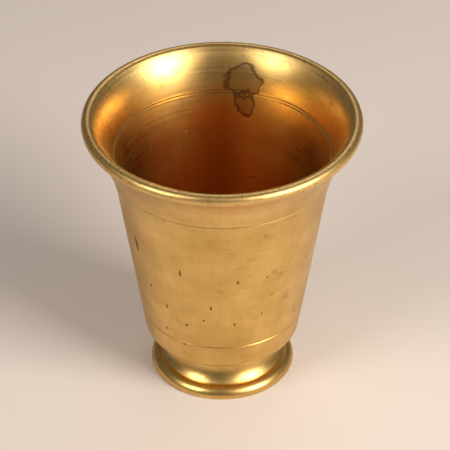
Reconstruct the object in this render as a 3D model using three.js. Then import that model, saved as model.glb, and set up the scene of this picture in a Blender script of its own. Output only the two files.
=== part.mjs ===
// A footed brass tumbler for holy water: a cast and turned cup, brazed to a hollow turned foot.
// Millimetres, +Z up. The origin is on the table, at the centre of the foot.
import * as THREE from "three";

// Mouth and lip
const CUP_HEIGHT = 83;
const MOUTH_RADIUS = 38;
const LIP_RADIUS = 1.65;
const LIP_LEAN = 45;

// Cup wall: a straight taper from the underside, then a trumpet flare to the lip
const BODY_RADIUS = 21.35;
const BODY_TAPER = 8.7;
const BODY_CORNER_RADIUS = 3.5;
const WALL_THICKNESS = 1.7;
const FLOOR_THICKNESS = 2.2;
const INNER_CORNER_RADIUS = 5;
const FLARE_DEPTH = 23;
const FLARE_START_PULL = 8;
const FLARE_END_PULL = 6;

// Turned lines: two in the throat, one under the flare and one above the bottom edge
const THROAT_LINE_DEPTH = 11.4;
const THROAT_LINE_PITCH = 0.6;
const FLARE_LINE_DEPTH = 15;
const LOWER_LINE_RISE = 7.6;
const LINE_WIDTH = 0.4;
const LINE_CUT = 0.2;

// Foot: a base band, a small step, a hollow cove and a seat for the cup
const FOOT_HEIGHT = 12.45;
const FOOT_RADIUS = 20.35;
const FOOT_RIM_WIDTH = 3.1;
const BAND_HEIGHT = 3.4;
const BAND_TOP_ROUND = 1.1;
const BAND_FOOT_ROUND = 0.5;
const STEP_RADIUS = 18.4;
const STEP_RISE = 0.4;
const NECK_RADIUS = 16.7;
const NECK_HEIGHT = 9.4;
const FOOT_WALL = 3.4;
const SEAT_FLANGE = 1.3;

// Filler between the foot's seat and the cup's underside
const BRAZE_THICKNESS = 0.35;
const BRAZE_FILLET = 0.35;

// Steps round the axis and along each kind of curve
const TURN_STEPS = 60;
const LONG_CURVE_STEPS = 9;
const LIP_STEPS = 11;
const ROUND_STEPS = 5;

const BRASS = { color: 0xa9824a, metalness: 1, roughness: 0.36 };
const FILLER = { color: 0xb39a63, metalness: 1, roughness: 0.5 };

const point = (radius, height) => new THREE.Vector2(radius, height);
const radians = (degrees) => THREE.MathUtils.degToRad(degrees);

// A stretch of outline on a curve, and a round from one angle to another
const along = (curve, steps) => curve.getPoints(steps);
const bend = (a, b, c, d) => along(new THREE.CubicBezierCurve(a, b, c, d), LONG_CURVE_STEPS);

function round(centre, radius, from, to, steps = ROUND_STEPS) {
  const arc = new THREE.EllipseCurve(
    centre.x, centre.y, radius, radius, radians(from), radians(to), to < from,
  );
  return along(arc, steps);
}

// A wall that leans out by an angle: its direction, and the direction out of its outer face
const rise = (lean) => point(Math.sin(radians(lean)), Math.cos(radians(lean)));
const outward = (lean) => point(Math.cos(radians(lean)), -Math.sin(radians(lean)));
const shifted = (from, direction, distance) => from.clone().addScaledVector(direction, distance);

// Cuts a turned line, a vee, into a stretch of outline that has the metal on its left
function score(stretch, height) {
  const next = stretch.findIndex((p, i) => i > 0 && (stretch[i - 1].y - height) * (p.y - height) <= 0);
  const start = stretch[next - 1];
  const end = stretch[next];
  const at = start.clone().lerp(end, (height - start.y) / (end.y - start.y));
  const way = end.clone().sub(start).normalize();
  const into = point(-way.y, way.x);
  const clear = (p) => p.distanceTo(at) > LINE_WIDTH / 2;
  return [
    ...stretch.slice(0, next).filter(clear),
    shifted(at, way, -LINE_WIDTH / 2),
    shifted(at, into, LINE_CUT),
    shifted(at, way, LINE_WIDTH / 2),
    ...stretch.slice(next).filter(clear),
  ];
}

// Drops points that repeat the one before them, so that no face is folded flat
const tidy = (outline) => outline.filter((p, i) => i === 0 || p.distanceTo(outline[i - 1]) > 1e-4);

function turned(name, outline, finish) {
  const geometry = new THREE.LatheGeometry(tidy(outline), TURN_STEPS);
  geometry.rotateX(Math.PI / 2);
  const mesh = new THREE.Mesh(geometry, new THREE.MeshStandardMaterial(finish));
  mesh.name = name;
  return mesh;
}

// Heights that the pieces share
const underside = FOOT_HEIGHT + BRAZE_THICKNESS;
const floor = underside + FLOOR_THICKNESS;
const seatRadius = NECK_RADIUS + SEAT_FLANGE;
const boreRadius = NECK_RADIUS - FOOT_WALL;

// The cup: underside, rounded bottom edge, tapered wall, flare, rolled lip, throat and inner floor
function makeCupShell() {
  const slope = Math.tan(radians(BODY_TAPER));
  const wallAt = (height) => point(BODY_RADIUS + (height - underside) * slope, height);
  const out = outward(BODY_TAPER);
  const up = rise(BODY_TAPER);
  const lipOut = outward(LIP_LEAN);
  const lipUp = rise(LIP_LEAN);
  const lipCentre = point(MOUTH_RADIUS - LIP_RADIUS, CUP_HEIGHT - LIP_RADIUS);

  // A round that is tangent to a level face and to the tapered wall, by how far in the wall is
  const cornerCentre = (level, radius, inset) => {
    const height = level + radius;
    return point(wallAt(height).x - (inset + radius) / Math.cos(radians(BODY_TAPER)), height);
  };
  const outerCorner = cornerCentre(underside, BODY_CORNER_RADIUS, 0);
  const innerCorner = cornerCentre(floor, INNER_CORNER_RADIUS, WALL_THICKNESS);

  const flareStart = wallAt(CUP_HEIGHT - FLARE_DEPTH);
  const flareEnd = shifted(lipCentre, lipOut, LIP_RADIUS);
  const throatStart = shifted(flareStart, out, -WALL_THICKNESS);
  const throatEnd = shifted(lipCentre, lipOut, -LIP_RADIUS);
  const flare = (start, end) =>
    bend(start, shifted(start, up, FLARE_START_PULL), shifted(end, lipUp, -FLARE_END_PULL), end);

  const outside = [
    ...round(outerCorner, BODY_CORNER_RADIUS, -90, -BODY_TAPER),
    ...flare(flareStart, flareEnd),
  ];
  const inside = [
    ...flare(throatStart, throatEnd).reverse(),
    ...round(innerCorner, INNER_CORNER_RADIUS, -BODY_TAPER, -90),
  ];
  const throatLine = CUP_HEIGHT - THROAT_LINE_DEPTH;
  const lip = round(lipCentre, LIP_RADIUS, -LIP_LEAN, 180 - LIP_LEAN, LIP_STEPS);
  return turned(
    "cup_shell",
    [
      point(0, underside),
      ...score(score(outside, underside + LOWER_LINE_RISE), CUP_HEIGHT - FLARE_LINE_DEPTH),
      ...lip,
      ...score(score(inside, throatLine), throatLine - THROAT_LINE_PITCH),
      point(0, floor),
    ],
    BRASS,
  );
}

// The foot: rim on the table, base band, step, cove, seat, then the bell-shaped hollow inside
function makeFootRing() {
  const rimInner = point(FOOT_RADIUS - FOOT_RIM_WIDTH, 0);
  const footRound = point(FOOT_RADIUS - BAND_FOOT_ROUND, BAND_FOOT_ROUND);
  const topRound = point(FOOT_RADIUS - BAND_TOP_ROUND, BAND_HEIGHT - BAND_TOP_ROUND);
  const coveFoot = point(STEP_RADIUS, BAND_HEIGHT + STEP_RISE);
  const neck = point(NECK_RADIUS, NECK_HEIGHT);
  const seatEdge = point(seatRadius, FOOT_HEIGHT);
  const boreTop = point(boreRadius, FOOT_HEIGHT);
  const coveRise = NECK_HEIGHT - coveFoot.y;
  const seatRise = FOOT_HEIGHT - NECK_HEIGHT;
  return turned(
    "foot_ring",
    [
      rimInner,
      ...round(footRound, BAND_FOOT_ROUND, -90, 0, 3),
      ...round(topRound, BAND_TOP_ROUND, 0, 90, 4),
      point(STEP_RADIUS, BAND_HEIGHT),
      ...bend(coveFoot, point(NECK_RADIUS, coveFoot.y), shifted(neck, point(0, -1), coveRise / 2), neck),
      ...along(new THREE.QuadraticBezierCurve(neck, shifted(neck, point(0, 1), seatRise), seatEdge), 5),
      ...bend(
        boreTop,
        shifted(boreTop, point(0, -1), FOOT_HEIGHT / 2),
        shifted(rimInner, point(0, 1), FOOT_HEIGHT / 3),
        rimInner,
      ),
    ],
    BRASS,
  );
}

// The seam: a thin ring of filler with a small fillet that spreads on the cup's underside
function makeBrazeSeam() {
  const filletTop = point(seatRadius + BRAZE_FILLET, underside);
  const seatEdge = point(seatRadius, FOOT_HEIGHT);
  const hollow = point(seatRadius, underside);
  const inner = point(boreRadius, FOOT_HEIGHT);
  return turned(
    "braze_seam",
    [
      inner,
      ...along(new THREE.QuadraticBezierCurve(seatEdge, hollow, filletTop), 4),
      point(boreRadius, underside),
      inner,
    ],
    FILLER,
  );
}

const cup = new THREE.Group();
cup.name = "holy_water_cup";
cup.add(makeCupShell(), makeBrazeSeam(), makeFootRing());

export default cup;
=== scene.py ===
"""A footed brass tumbler for holy water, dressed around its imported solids. Metres, +Z up."""

from math import cos, degrees, exp, pi, radians, sin, tan

import bpy
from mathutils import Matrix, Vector, noise


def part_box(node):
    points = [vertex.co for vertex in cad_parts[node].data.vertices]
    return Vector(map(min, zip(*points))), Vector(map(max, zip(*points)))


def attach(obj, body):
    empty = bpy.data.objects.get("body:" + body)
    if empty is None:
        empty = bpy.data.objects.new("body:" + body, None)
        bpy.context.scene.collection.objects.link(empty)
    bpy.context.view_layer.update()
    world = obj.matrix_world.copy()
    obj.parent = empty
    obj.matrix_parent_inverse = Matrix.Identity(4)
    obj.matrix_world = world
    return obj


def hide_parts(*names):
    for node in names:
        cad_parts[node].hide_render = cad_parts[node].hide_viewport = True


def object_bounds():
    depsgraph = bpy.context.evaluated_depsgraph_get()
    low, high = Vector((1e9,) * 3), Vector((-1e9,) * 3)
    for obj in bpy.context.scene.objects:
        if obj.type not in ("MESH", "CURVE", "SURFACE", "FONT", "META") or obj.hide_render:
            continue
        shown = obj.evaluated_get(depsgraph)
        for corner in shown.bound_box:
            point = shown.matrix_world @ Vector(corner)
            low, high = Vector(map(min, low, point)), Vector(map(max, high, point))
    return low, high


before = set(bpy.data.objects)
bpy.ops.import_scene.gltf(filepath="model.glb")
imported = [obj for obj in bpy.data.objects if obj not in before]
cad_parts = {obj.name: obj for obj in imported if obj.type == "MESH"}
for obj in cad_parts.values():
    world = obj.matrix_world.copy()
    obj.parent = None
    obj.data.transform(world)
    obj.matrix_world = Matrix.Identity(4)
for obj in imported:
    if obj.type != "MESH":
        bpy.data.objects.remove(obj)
cad_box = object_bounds()

# The outline's sizes are in millimetres and degrees, and MM turns them into metres
MM = 0.001

# The frame's facets stop a little short of the true outline, so a size read from it is rounded
SIZE_STEP = 0.05


def measured(metres):
    """A length of the frame in millimetres, to the nearest size step."""
    return round(metres / MM / SIZE_STEP) * SIZE_STEP


def span(start, end):
    """Two lengths in millimetres, as metres."""
    return (start * MM, end * MM)


CUP_HEIGHT = measured(cad_box[1][2])
MOUTH_RADIUS = measured(cad_box[1][0])
FOOT_RADIUS = measured(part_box("foot_ring")[1][0])

# The cup: its lip, wall, floor and flare
LIP_RADIUS = 1.65
LIP_LEAN = 45
BODY_RADIUS = 21.5
BODY_TAPER = 8.6
BODY_CORNER_RADIUS = 2.8
WALL_THICKNESS = 1.7
FLOOR_THICKNESS = 2.2
INNER_CORNER_RADIUS = 5
FLARE_DEPTH = 23
FLARE_START_PULL = 8
FLARE_END_PULL = 6

# The turned lines: two in the throat, one outside below the flare and one outside near the foot
THROAT_LINE_DEPTH = 11.4
THROAT_LINE_PITCH = 0.8
THROAT_LINE_WIDTH = 0.5
THROAT_LINE_CUT = 0.22
FLARE_LINE_DEPTH = 15
LOWER_LINE_RISE = 8.8
LINE_WIDTH = 0.36
LINE_CUT = 0.15

# The foot: its base band, the small step above it, the cove, the neck and the hollow beneath
FOOT_HEIGHT = 11.85
FOOT_RIM_WIDTH = 3.1
BAND_HEIGHT = 3.2
BAND_TOP_ROUND = 2.7
BAND_FOOT_ROUND = 0.5
STEP_RADIUS = 17.5
STEP_RISE = 0.25
COVE_SLOPE = 0.85
NECK_RADIUS = 14.9
NECK_HEIGHT = 9.6
FOOT_WALL = 2.2
SEAT_FLANGE = 3.1
BRAZE_THICKNESS = 0.35
BRAZE_FILLET = 0.35

# How far the handles of a small curve reach towards its corner, and those of the hollow along it
FILLET_PULL = 2 / 3
HOLLOW_TOP_PULL = FOOT_HEIGHT / 2
HOLLOW_RIM_PULL = FOOT_HEIGHT / 3

# Mesh fineness: steps round the axis, steps in each kind of curve, the longest step along the outline,
# the least turn that shows as an edge, and how near two points are one
TURN_STEPS = 320
EDGE_STEPS = 6
ROUND_STEPS = 10
CORNER_STEPS = 12
COVE_STEPS = 20
LIP_STEPS = 24
FLARE_STEPS = 28
LONGEST_STEP = 0.8
SHARP_ANGLE = 28
SAME_POINT = 0.0001

# How far the handwork strays from a true turning, and over what length
WANDER_DEPTH = 0.03
WANDER_LENGTH = 11

# Nicks in the lip. The strides spread their depths and heights, from the least share of each to the whole
NICK_COUNT = 26
NICK_DEPTH = 0.09
NICK_WIDTH = 0.7
NICK_REACH = 3
GOLDEN_ANGLE = 137.508
LEAST_DEPTH = 0.35
LEAST_DROP = 0.2
DEPTH_STRIDE = 0.618
DROP_STRIDE = 0.37

underside = FOOT_HEIGHT + BRAZE_THICKNESS
inner_floor = underside + FLOOR_THICKNESS
flare_bottom = CUP_HEIGHT - FLARE_DEPTH
lip_middle = MOUTH_RADIUS - LIP_RADIUS
seat_radius = NECK_RADIUS + SEAT_FLANGE
bore_radius = NECK_RADIUS - FOOT_WALL


def point(radius, height):
    """A point of an outline."""
    return Vector((radius, height))


def outward(lean):
    """The way out from a wall that leans out by an angle."""
    return point(cos(radians(lean)), -sin(radians(lean)))


def rise(lean):
    """The way up along a wall that leans out by an angle."""
    return point(sin(radians(lean)), cos(radians(lean)))


def bend(a, b, c, d, steps):
    """Points of a cubic curve from a to d."""
    made = []
    for i in range(steps + 1):
        t = i / steps
        u = 1 - t
        made.append(a * u**3 + b * 3 * u * u * t + c * 3 * u * t * t + d * t**3)
    return made


def arc(centre, radius, start, end, steps):
    """Points of a round, from one angle to another."""
    angles = [radians(start + (end - start) * i / steps) for i in range(steps + 1)]
    return [centre + radius * point(cos(a), sin(a)) for a in angles]


def fillet(start, corner, end, steps):
    """Points of a curve that cuts a corner."""
    return bend(start, start.lerp(corner, FILLET_PULL), end.lerp(corner, FILLET_PULL), end, steps)


def fine(outline):
    """The outline with its long steps divided."""
    made = [outline[0]]
    for end in outline[1:]:
        start = made[-1]
        length = (end - start).length
        if length < SAME_POINT:
            continue
        parts = max(1, round(length / LONGEST_STEP))
        made += [start.lerp(end, (i + 1) / parts) for i in range(parts)]
    return made


def score(stretch, height, width=LINE_WIDTH, cut=LINE_CUT):
    """The stretch of outline with a turned line, a vee, cut into the metal on its left."""
    after = next(
        i for i in range(1, len(stretch))
        if (stretch[i - 1].y - height) * (stretch[i].y - height) <= 0
    )
    start, end = stretch[after - 1], stretch[after]
    at = start.lerp(end, (height - start.y) / (end.y - start.y))
    way = (end - start).normalized()
    into = point(-way.y, way.x)
    half = width / 2
    before = [p for p in stretch[:after] if (p - at).length > half]
    beyond = [p for p in stretch[after:] if (p - at).length > half]
    return before + [at - way * half, at + into * cut, at + way * half] + beyond


def wall_at(height):
    """The outside of the cup's straight wall at a height."""
    return point(BODY_RADIUS + (height - underside) * tan(radians(BODY_TAPER)), height)


def corner_centre(level, radius, inset):
    """The centre of a round between a level and the wall, or a face set in from it."""
    height = level + radius
    return point(wall_at(height).x - (inset + radius) / cos(radians(BODY_TAPER)), height)


def flare(start, end):
    """The trumpet curve from the top of the straight wall to the lip."""
    start_handle = start + rise(BODY_TAPER) * FLARE_START_PULL
    end_handle = end - rise(LIP_LEAN) * FLARE_END_PULL
    return bend(start, start_handle, end_handle, end, FLARE_STEPS)


def cup_outline():
    """The cup's outline from its underside, round the lip and down to its inner floor."""
    lip = point(lip_middle, CUP_HEIGHT - LIP_RADIUS)
    lip_side = outward(LIP_LEAN) * LIP_RADIUS
    outer_corner = corner_centre(underside, BODY_CORNER_RADIUS, 0)
    inner_corner = corner_centre(inner_floor, INNER_CORNER_RADIUS, WALL_THICKNESS)
    wall_top = wall_at(flare_bottom)
    inner_wall_top = wall_top - outward(BODY_TAPER) * WALL_THICKNESS
    outside = fine(
        arc(outer_corner, BODY_CORNER_RADIUS, -90, -BODY_TAPER, CORNER_STEPS)
        + flare(wall_top, lip + lip_side)
    )
    inside = fine(
        flare(inner_wall_top, lip - lip_side)[::-1]
        + arc(inner_corner, INNER_CORNER_RADIUS, -BODY_TAPER, -90, CORNER_STEPS)
    )
    throat = CUP_HEIGHT - THROAT_LINE_DEPTH
    for line in (throat, throat - THROAT_LINE_PITCH):
        inside = score(inside, line, THROAT_LINE_WIDTH, THROAT_LINE_CUT)
    for line in (underside + LOWER_LINE_RISE, CUP_HEIGHT - FLARE_LINE_DEPTH):
        outside = score(outside, line)
    return (
        fine([point(0, underside), outside[0]])
        + outside
        + arc(lip, LIP_RADIUS, -LIP_LEAN, 180 - LIP_LEAN, LIP_STEPS)
        + inside
        + fine([inside[-1], point(0, inner_floor)])
    )


def foot_outline():
    """The foot's outline from its rim, up its cove to the seat and back down its hollow."""
    rim = point(FOOT_RADIUS - FOOT_RIM_WIDTH, 0)
    foot_round = point(FOOT_RADIUS - BAND_FOOT_ROUND, BAND_FOOT_ROUND)
    top_round = point(FOOT_RADIUS - BAND_TOP_ROUND, BAND_HEIGHT - BAND_TOP_ROUND)
    cove = point(STEP_RADIUS, BAND_HEIGHT + STEP_RISE)
    cove_run = (STEP_RADIUS - NECK_RADIUS) / 2
    cove_handle = cove + point(-cove_run, COVE_SLOPE * cove_run)
    neck = point(NECK_RADIUS, NECK_HEIGHT)
    neck_handle = neck - point(0, (NECK_HEIGHT - cove.y) / 2)
    corner = point(NECK_RADIUS, FOOT_HEIGHT)
    seat = point(seat_radius, FOOT_HEIGHT)
    bore = point(bore_radius, FOOT_HEIGHT)
    return fine(
        [rim]
        + arc(foot_round, BAND_FOOT_ROUND, -90, 0, EDGE_STEPS)
        + arc(top_round, BAND_TOP_ROUND, 0, 90, ROUND_STEPS)
        + [point(STEP_RADIUS, BAND_HEIGHT)]
        + bend(cove, cove_handle, neck_handle, neck, COVE_STEPS)
        + fillet(neck, corner, seat, ROUND_STEPS)
        + bend(bore, bore - point(0, HOLLOW_TOP_PULL), rim + point(0, HOLLOW_RIM_PULL), rim, COVE_STEPS)
    )


def braze_outline():
    """The filler ring's outline, with a small fillet on the cup's underside."""
    inner = point(bore_radius, FOOT_HEIGHT)
    seat = point(seat_radius, FOOT_HEIGHT)
    corner = point(seat_radius, underside)
    edge = point(seat_radius + BRAZE_FILLET, underside)
    return fine([inner] + fillet(seat, corner, edge, EDGE_STEPS) + [point(bore_radius, underside), inner])


def wander(at):
    """How far a point of the surface strays along its radius."""
    return WANDER_DEPTH * noise.noise(at / WANDER_LENGTH)


def spread(least, i, stride):
    """A share from the least to 1, for a nick's number."""
    return least + (1 - least) * (i * stride % 1)


def nicks(angle, height):
    """How deep the lip is nicked at an angle and a height."""
    depth = 0
    for i in range(NICK_COUNT):
        off = (degrees(angle) - i * GOLDEN_ANGLE + 180) % 360 - 180
        across = radians(off) * MOUTH_RADIUS / NICK_WIDTH
        drop = LIP_RADIUS * spread(LEAST_DROP, i, DROP_STRIDE)
        up = (height - CUP_HEIGHT + drop) / NICK_WIDTH
        if abs(across) < NICK_REACH:
            depth += NICK_DEPTH * spread(LEAST_DEPTH, i, DEPTH_STRIDE) * exp(-across * across - up * up)
    return depth


def strip(low, high, low_start, high_start):
    """The faces between two neighbouring rings, either of which may be one point on the axis."""
    faces = []
    for k in range(TURN_STEPS):
        after = (k + 1) % TURN_STEPS
        if low.x < SAME_POINT:
            faces.append((low_start, high_start + after, high_start + k))
        elif high.x < SAME_POINT:
            faces.append((low_start + k, low_start + after, high_start))
        else:
            faces.append((low_start + k, low_start + after, high_start + after, high_start + k))
    return faces


def turn(name, outline, strays=False, nicked=False):
    """A closed mesh turned round Z from an outline that has the metal on its left."""
    closed = (outline[0] - outline[-1]).length < SAME_POINT
    rings = outline[:-1] if closed else outline
    vertices, starts = [], []
    for ring in rings:
        starts.append(len(vertices))
        on_axis = ring.x < SAME_POINT
        on_lip = ring.x > lip_middle and ring.y > CUP_HEIGHT - 2 * LIP_RADIUS
        for k in range(1 if on_axis else TURN_STEPS):
            angle = 2 * pi * k / TURN_STEPS
            radius = ring.x
            if strays and not on_axis:
                radius += wander(Vector((radius * cos(angle), radius * sin(angle), ring.y)))
            if nicked and on_lip:
                radius -= nicks(angle, ring.y)
            vertices.append((radius * cos(angle) * MM, radius * sin(angle) * MM, ring.y * MM))
    faces = []
    strips = len(rings) if closed else len(rings) - 1
    for i in range(strips):
        j = (i + 1) % len(rings)
        faces += strip(rings[i], rings[j], starts[i], starts[j])
    mesh = bpy.data.meshes.new(name)
    mesh.from_pydata(vertices, [], faces)
    mesh.polygons.foreach_set("use_smooth", [True] * len(mesh.polygons))
    mesh.set_sharp_from_angle(angle=radians(SHARP_ANGLE))
    mesh.update()
    piece = bpy.data.objects.new(name, mesh)
    bpy.context.scene.collection.objects.link(piece)
    return piece


class Tree:
    """Short calls that add nodes to a material."""

    def __init__(self, name):
        self.material = bpy.data.materials.new(name)
        self.material.use_nodes = True
        self.nodes = self.material.node_tree.nodes
        self.links = self.material.node_tree.links
        self.shader = self.nodes["Principled BSDF"]

    def add(self, kind, inputs, output=0, **settings):
        """A new node's output, with the node's inputs and settings filled in."""
        made = self.nodes.new("ShaderNode" + kind)
        for key, value in settings.items():
            setattr(made, key, value)
        for key, value in inputs.items():
            self.put(made.inputs[key], value)
        return made.outputs[output]

    def put(self, socket, value):
        """A socket takes a link from another socket, or a plain value."""
        if isinstance(value, bpy.types.NodeSocket):
            self.links.new(value, socket)
        else:
            socket.default_value = value

    def math(self, operation, a, b=0.0):
        """Arithmetic on one or two values."""
        return self.add("Math", {0: a, 1: b}, operation=operation)

    def plus(self, a, b):
        return self.math("ADD", a, b)

    def times(self, a, b):
        return self.math("MULTIPLY", a, b)

    def weighed(self, *terms):
        """The sum of values, each times its weight."""
        total = 0.0
        for value, weight in terms:
            total = self.plus(total, self.times(value, weight))
        return total

    def vector(self, operation, *values, output="Vector"):
        """Arithmetic on vectors, which gives a vector or a value."""
        return self.add("VectorMath", dict(enumerate(values)), output, operation=operation)

    def axes(self, where):
        """A vector's three coordinates."""
        return [self.add("SeparateXYZ", {0: where}, axis) for axis in "XYZ"]

    def ramp(self, value, reach, start=0.0, end=1.0):
        """The value's stretch over its reach, as start to end, held outside it."""
        low, high = reach
        sockets = {"Value": value, "From Min": low, "From Max": high, "To Min": start, "To Max": end}
        return self.add("MapRange", sockets)

    def mix(self, share, a, b):
        """Colour a with a share of colour b laid over it."""
        return self.add("MixRGB", {"Fac": share, "Color1": a, "Color2": b})

    def noise(self, where, size, detail=3.0, rough=0.55):
        """Cloudy values whose patches are about size across."""
        sockets = {"Vector": where, "Scale": 1 / size, "Detail": detail, "Roughness": rough}
        return self.add("TexNoise", sockets)

    def lines(self, where, size, detail=2.0):
        """Values that change along one length only, for turned lines."""
        sockets = {"W": where, "Scale": 1 / size, "Detail": detail, "Roughness": 0.6}
        return self.add("TexNoise", sockets, noise_dimensions="1D")


# Colours of the metal, of what lies on it, and of the shade and dark reflections painted inside
CLEAN = (0.78, 0.52, 0.175, 1)
DULL = (0.6, 0.365, 0.11, 1)
STREAK = (0.62, 0.4, 0.12, 1)
WORN = (0.86, 0.66, 0.36, 1)
GRIME = (0.15, 0.075, 0.03, 1)
# Painted shade, deeper down inside the cup
SHADED_DEEP = (0.7, 0.35, 0.07, 1)
# Painted dark reflections down the back of the inside: brown, and red-brown low down
REFLECTED_DARK_RED = (0.42, 0.14, 0.02, 1)
REFLECTED_DARK_BROWN = (0.4, 0.24, 0.08, 1)
TEA = (0.2, 0.085, 0.035, 1)
FILLER = (0.5, 0.38, 0.2, 1)

# Sizes of the marks, in millimetres
BLOTCH_SIZE = 14
PATCH_SIZE = 4
SPECK_SIZE = 0.7
FINE_LINE_SIZE = 0.9
BROAD_LINE_SIZE = 3.5
SKIN_SIZE = 1.2

# Turned lines follow the height and this share of the radius, so that a floor has rings too
LINE_LEAN = 0.8

# Streaks run down the wall: their width in radians, and the radians that a metre of height counts as
STREAK_WIDTH = 0.09
STREAK_RISE = 5.0

# Over which values of its pattern each mark comes in, and how strong it gets
TARNISH_REACH = (0.36, 0.64)
LINED_REACH = (0.8, 1.3)
LINED_SHARE = 0.25
STREAK_REACH = (0.45, 0.7)
STREAK_SHARE = 0.5
GRIME_REACH = (0.62, 0.8)
SPOT_REACH = (0.55, 0.72)
SPOT_SHARE = 0.55
WORN_SHARE = 0.12

# The lip's own wear comes in between these depths below the mouth
WEAR_START_DEPTH = 3.2
WEAR_FULL_DEPTH = 2
LIP_HEIGHTS = span(CUP_HEIGHT - WEAR_START_DEPTH, CUP_HEIGHT - WEAR_FULL_DEPTH)

# Scattered pits: their spacing, their edge as shares of it, the chance past which there is one, and their
# strength
PIT_SPACING = 5
PIT_EDGE = (0.05, 0.11)
PIT_CUTOFF = 0.85
PIT_SHARE = 0.85

# Placed pits in the outer wall: the edge as shares of the radius, and for each pit the degrees round from
# the front, the height, the radius, and height over width
PIT_RIM = (0.9, 1.3)
PITS = (
    (-24, 28.5, 0.5, 1.0),
    (-12, 31.5, 0.42, 1.0),
    (26, 32.7, 0.36, 1.0),
    (-58, 51, 0.8, 4.5),
    (-25, 48.4, 0.4, 4.0),
    (9, 46.7, 0.45, 1.5),
    (27, 46.6, 0.32, 1.5),
    (-50, 38, 0.35, 2.0),
    (-7, 36.7, 0.35, 3.0),
    (8, 30.3, 0.3, 2.5),
    (-38, 33.2, 0.35, 3.0),
    (140, 40, 0.45, 1.0),
    (196, 33, 0.4, 2.0),
    (95, 52, 0.5, 3.0),
)

# The painted shade inside, which starts below the mouth and is full at the flare's bottom, and the painted
# dark reflection in a stripe down its back, red-brown low down
DEEP_START_DEPTH = 5
DEEP_HEIGHTS = span(CUP_HEIGHT - DEEP_START_DEPTH, flare_bottom)
STRIPE_MIDDLE = -2
STRIPE_EDGES = span(2, 10)
STRIPE_SHARE = 0.7
STRIPE_DARK_BROWN_SHARE = 0.8
STRIPE_DARK_RED_HEIGHTS = span(74, 66)

# The dried splash: the centres and reach of its spots, its ragged edge, and its line and middle
STAIN_SPOTS = (((6, 30.5, 74), 4.8), ((6.5, 29, 68.5), 3))
RAGGED_SIZE = 6
RAGGED_REACH = 8
STAIN_LINE = span(0.25, 0.9)
STAIN_FADE = 1
STAIN_MIDDLE = 0.45
STAIN_SHARE = 0.85

# The metal's own roughness on each surface, and what blotches, fine lines, the lip and pits add to it
OUTSIDE_ROUGH = 0.34
INSIDE_ROUGH = 0.31
FOOT_ROUGH = 0.29
FILLER_ROUGH = 0.55
BLOTCH_REACH = (0.3, 0.75)
BLOTCH_ROUGH = (-0.05, 0.1)
FINE_REACH = (0.3, 0.7)
FINE_ROUGH = (-0.03, 0.05)
LIP_ROUGH = 0.03
PIT_ROUGH = 0.25

# How strong the grime is, how much painted shade darkens the inside lower down, and how much of the relief
# shows there
CUP_GRIME = 0.5
FOOT_GRIME = 0.8
INSIDE_DEEP_SHADE = 0.6
INSIDE_RELIEF = 0.1

# Relief: its depth in millimetres, and the weights of the marks in it
RELIEF_DEPTH = 0.013
FINE_RELIEF = 0.8
BROAD_RELIEF = 1.2
SPECK_RELIEF = 0.35
PIT_RELIEF = -3.0
SPOT_RELIEF = -2.5

# The filler's coarse skin: over which values of its pattern grime comes in, and its depth
SKIN_REACH = (0.35, 0.7)
SKIN_DEPTH = 0.03


def pit_share(tree, where, speck, pits):
    """The strength of the pits, scattered ones and placed ones."""
    near = tree.add("TexVoronoi", {"Vector": where, "Scale": 1 / (PIT_SPACING * MM)}, "Distance")
    chance = tree.add("SeparateColor", {0: near.node.outputs["Color"]})
    chosen = tree.math("GREATER_THAN", chance, PIT_CUTOFF)
    share = tree.times(tree.ramp(near, PIT_EDGE, 1.0, 0.0), chosen)
    for around, height, size, tall in pits:
        angle = radians(around - 90)
        reach = wall_at(height).x
        centre = Vector((reach * cos(angle), reach * sin(angle), height)) * MM
        off = tree.vector("MULTIPLY", tree.vector("SUBTRACT", where, centre), (1, 1, 1 / tall))
        away = tree.vector("LENGTH", off, output="Value")
        ragged = tree.plus(away, tree.times(speck, size * MM / 2))
        rim = [size * MM * part for part in PIT_RIM]
        share = tree.math("MAXIMUM", share, tree.ramp(ragged, rim, 1.0, 0.0))
    return share


def stain_share(tree, where):
    """The strength of a dried splash, dark at its ragged edge and thin in its middle."""
    cloud = tree.noise(where, RAGGED_SIZE * MM, detail=4.0, rough=0.65)
    ragged = tree.times(cloud, RAGGED_REACH * MM)
    share = 0.0
    for centre, reach in STAIN_SPOTS:
        away = tree.vector("DISTANCE", where, Vector(centre) * MM, output="Value")
        edge = tree.plus(away, ragged)
        rim = (reach + RAGGED_REACH / 2) * MM
        off_rim = tree.math("ABSOLUTE", tree.plus(edge, -rim))
        line = tree.ramp(off_rim, STAIN_LINE, 1.0, 0.0)
        middle = tree.ramp(edge, (rim - STAIN_FADE * MM, rim), STAIN_MIDDLE, 0.0)
        share = tree.math("MAXIMUM", share, tree.math("MAXIMUM", line, middle))
    return share


def darken_inside(tree, where, colour, deep):
    """The colour with painted shade deeper down the cup, a painted dark reflection down its back, and
    stained there.
    """
    x, y, z = tree.axes(where)
    # Painted shade: the inside darkens towards a deep orange lower down the cup
    colour = tree.mix(tree.ramp(z, DEEP_HEIGHTS, 0.0, deep), colour, SHADED_DEEP)
    # Painted dark reflection of the room in a stripe down the back: brown, and red-brown low down
    across = tree.math("ABSOLUTE", tree.plus(x, -STRIPE_MIDDLE * MM))
    behind = tree.math("GREATER_THAN", y, 0.0)
    stripe = tree.times(tree.ramp(across, STRIPE_EDGES, STRIPE_SHARE, 0.0), behind)
    colour = tree.mix(tree.times(stripe, STRIPE_DARK_BROWN_SHARE), colour, REFLECTED_DARK_BROWN)
    colour = tree.mix(tree.times(stripe, tree.ramp(z, STRIPE_DARK_RED_HEIGHTS)), colour, REFLECTED_DARK_RED)
    return tree.mix(tree.times(stain_share(tree, where), STAIN_SHARE), colour, TEA)


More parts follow.
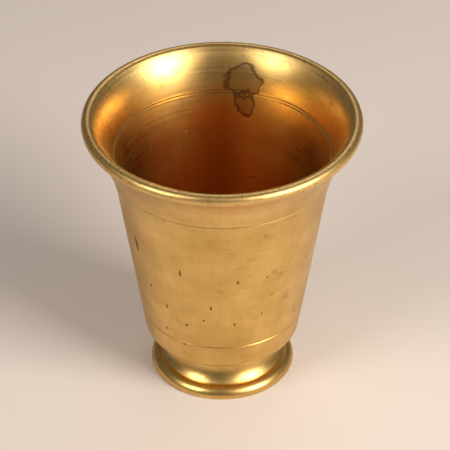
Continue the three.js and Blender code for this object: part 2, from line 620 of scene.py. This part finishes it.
def brass(name, roughness, grime, relief=1.0, deep=0.0, pits=()):
    """Old turned brass: tarnish in blotches, turned lines, faint streaks down, small dark pits, and
    painted shade inside.
    """
    tree = Tree(name)
    where = tree.add("TexCoord", {}, "Object")
    x, y, z = tree.axes(where)
    flat = tree.add("CombineXYZ", {0: x, 1: y})
    radius = tree.vector("LENGTH", flat, output="Value")
    course = tree.plus(z, tree.times(radius, LINE_LEAN))
    upright = tree.add("CombineXYZ", {2: tree.times(z, STREAK_RISE)})
    streak_place = tree.vector("ADD", tree.vector("NORMALIZE", flat), upright)

    blotch = tree.noise(where, BLOTCH_SIZE * MM, detail=5.0, rough=0.62)
    patch = tree.noise(where, PATCH_SIZE * MM, detail=4.0, rough=0.6)
    speck = tree.noise(where, SPECK_SIZE * MM, detail=2.0)
    streaks = tree.noise(streak_place, STREAK_WIDTH, detail=4.0, rough=0.6)
    fine_lines = tree.lines(course, FINE_LINE_SIZE * MM, detail=3.0)
    broad_lines = tree.lines(course, BROAD_LINE_SIZE * MM)
    pit = pit_share(tree, where, speck, pits)
    lip = tree.ramp(z, LIP_HEIGHTS)
    spots = tree.times(lip, tree.ramp(speck, SPOT_REACH))

    colour = tree.mix(tree.ramp(blotch, TARNISH_REACH), CLEAN, DULL)
    lined = tree.ramp(tree.plus(fine_lines, broad_lines), LINED_REACH, 0.0, LINED_SHARE)
    colour = tree.mix(lined, colour, DULL)
    colour = tree.mix(tree.ramp(streaks, STREAK_REACH, 0.0, STREAK_SHARE), colour, STREAK)
    colour = tree.mix(tree.ramp(patch, GRIME_REACH, 0.0, grime), colour, GRIME)
    colour = tree.mix(tree.times(pit, PIT_SHARE), colour, GRIME)
    colour = tree.mix(tree.times(lip, WORN_SHARE), colour, WORN)
    colour = tree.mix(tree.times(spots, SPOT_SHARE), colour, GRIME)
    # Painted shade and a painted dark reflection inside the cup
    if deep:
        colour = darken_inside(tree, where, colour, deep)
    tree.put(tree.shader.inputs["Base Color"], colour)

    rough = tree.plus(roughness, tree.ramp(blotch, BLOTCH_REACH, *BLOTCH_ROUGH))
    rough = tree.plus(rough, tree.ramp(fine_lines, FINE_REACH, *FINE_ROUGH))
    rough = tree.plus(rough, tree.weighed((lip, LIP_ROUGH), (pit, PIT_ROUGH)))
    tree.put(tree.shader.inputs["Roughness"], rough)
    tree.shader.inputs["Metallic"].default_value = 1.0

    height = tree.weighed(
        (fine_lines, FINE_RELIEF),
        (broad_lines, BROAD_RELIEF),
        (speck, SPECK_RELIEF),
        (pit, PIT_RELIEF),
        (spots, SPOT_RELIEF),
    )
    bump = tree.add("Bump", {"Strength": 1.0, "Distance": RELIEF_DEPTH * relief * MM, "Height": height})
    tree.put(tree.shader.inputs["Normal"], bump)
    return tree.material


def filler(name):
    """Dull filler metal with a coarse skin."""
    tree = Tree(name)
    where = tree.add("TexCoord", {}, "Object")
    skin = tree.noise(where, SKIN_SIZE * MM, detail=4.0)
    tree.put(tree.shader.inputs["Base Color"], tree.mix(tree.ramp(skin, SKIN_REACH), FILLER, GRIME))
    tree.shader.inputs["Metallic"].default_value = 1.0
    tree.shader.inputs["Roughness"].default_value = FILLER_ROUGH
    bump = tree.add("Bump", {"Distance": SKIN_DEPTH * MM, "Height": skin})
    tree.put(tree.shader.inputs["Normal"], bump)
    return tree.material


def wear(piece, node_name, slot_name, *materials):
    """The piece takes its materials, rides on the cup's body and stands for its CAD node."""
    for material in materials:
        piece.data.materials.append(material)
    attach(piece, "root")
    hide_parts(node_name)


# A face that looks up by more than this belongs to the inner floor
FLOOR_FACING = 0.5


def make_cup():
    """The cup, with its inside up to the lip's middle in the darker material."""
    cup = turn("turned_cup", cup_outline(), strays=True, nicked=True)
    outside = brass("cup_outside", OUTSIDE_ROUGH, CUP_GRIME, pits=PITS)
    inside = brass("cup_inside", INSIDE_ROUGH, CUP_GRIME, INSIDE_RELIEF, INSIDE_DEEP_SHADE)
    wear(cup, "cup_shell", "cup_brass", outside, inside)
    half_floor = (underside + inner_floor) / 2
    for face in cup.data.polygons:
        reach = face.center.xy
        faces_in = face.normal.xy.dot(reach) < 0 or face.normal.z > FLOOR_FACING
        within = reach.length < lip_middle * MM and face.center.z > half_floor * MM
        if faces_in and within:
            face.material_index = 1


def make_foot():
    """The foot and the ring of filler on its seat."""
    foot = turn("turned_foot", foot_outline(), strays=True)
    wear(foot, "foot_ring", "foot_brass", brass("foot_brass", FOOT_ROUGH, FOOT_GRIME))
    seam = turn("filler_seam", braze_outline())
    wear(seam, "braze_seam", "braze_filler", filler("braze_filler"))


# The photo's viewpoint: place in metres, turns in degrees, lens and sensor in millimetres
CAMERA_PLACE = (0, -0.5557, 0.4609)
CAMERA_TILT = 36.72
CAMERA_YAW = -0.08
LENS = 200
SENSOR_WIDTH = 36


def make_camera():
    data = bpy.data.cameras.new("camera")
    data.lens = LENS
    data.sensor_width = SENSOR_WIDTH
    camera = bpy.data.objects.new("camera", data)
    camera.location = CAMERA_PLACE
    camera.rotation_euler = (radians(90 - CAMERA_TILT), 0, radians(CAMERA_YAW))
    bpy.context.scene.collection.objects.link(camera)
    bpy.context.scene.camera = camera


# A plain pale floor in metres, and the room's colour as the metal sees it and as the camera does
FLOOR_HALF = 2.5
FLOOR_COLOUR = (0.76, 0.67, 0.6, 1)
FLOOR_ROUGHNESS = 0.8
ROOM_COLOUR = (0.42, 0.38, 0.35, 1)
ROOM_STRENGTH = 0.36
BACKDROP_COLOUR = (0.8, 0.7, 0.63, 1)

# Soft lights, aimed near the cup's middle: name, place and size in metres, power in watts, and colour
LIGHT_AIM = Vector((0, 0, 0.04))
LIGHTS = (
    ("right_key", (0.5, -0.36, 0.42), (0.36, 0.4), 6.0, (1.0, 0.97, 0.93)),
    ("left_fill", (-0.46, -0.38, 0.5), (0.3, 0.4), 2.3, (1.0, 0.96, 0.92)),
    ("top_back", (0.1, 0.55, 0.75), (0.5, 0.3), 1.0, (1.0, 0.97, 0.94)),
)


def make_floor():
    corners = [(x * FLOOR_HALF, y * FLOOR_HALF, 0) for x, y in ((-1, -1), (1, -1), (1, 1), (-1, 1))]
    mesh = bpy.data.meshes.new("floor")
    mesh.from_pydata(corners, [], [(0, 1, 2, 3)])
    floor = bpy.data.objects.new("floor", mesh)
    bpy.context.scene.collection.objects.link(floor)
    tree = Tree("pale_floor")
    tree.shader.inputs["Base Color"].default_value = FLOOR_COLOUR
    tree.shader.inputs["Roughness"].default_value = FLOOR_ROUGHNESS
    mesh.materials.append(tree.material)


def make_room():
    """The studio round the cup, dimmer in the metal than behind it."""
    world = bpy.data.worlds.new("studio")
    bpy.context.scene.world = world
    world.use_nodes = True
    nodes, links = world.node_tree.nodes, world.node_tree.links
    room = nodes["Background"]
    room.inputs["Color"].default_value = ROOM_COLOUR
    room.inputs["Strength"].default_value = ROOM_STRENGTH
    backdrop = nodes.new("ShaderNodeBackground")
    backdrop.inputs["Color"].default_value = BACKDROP_COLOUR
    rays = nodes.new("ShaderNodeLightPath")
    either = nodes.new("ShaderNodeMixShader")
    links.new(rays.outputs["Is Camera Ray"], either.inputs[0])
    links.new(room.outputs[0], either.inputs[1])
    links.new(backdrop.outputs[0], either.inputs[2])
    links.new(either.outputs[0], nodes["World Output"].inputs["Surface"])


def soft_light(name, place, size, power, colour):
    data = bpy.data.lights.new(name, "AREA")
    data.shape = "RECTANGLE"
    data.size, data.size_y = size
    data.energy = power
    data.color = colour
    light = bpy.data.objects.new(name, data)
    light.location = place
    light.rotation_euler = (LIGHT_AIM - Vector(place)).to_track_quat("-Z", "Y").to_euler()
    bpy.context.scene.collection.objects.link(light)


make_camera()
make_cup()
make_foot()
make_floor()
make_room()
for light in LIGHTS:
    soft_light(*light)
bpy.context.scene.view_settings.view_transform = "Standard"
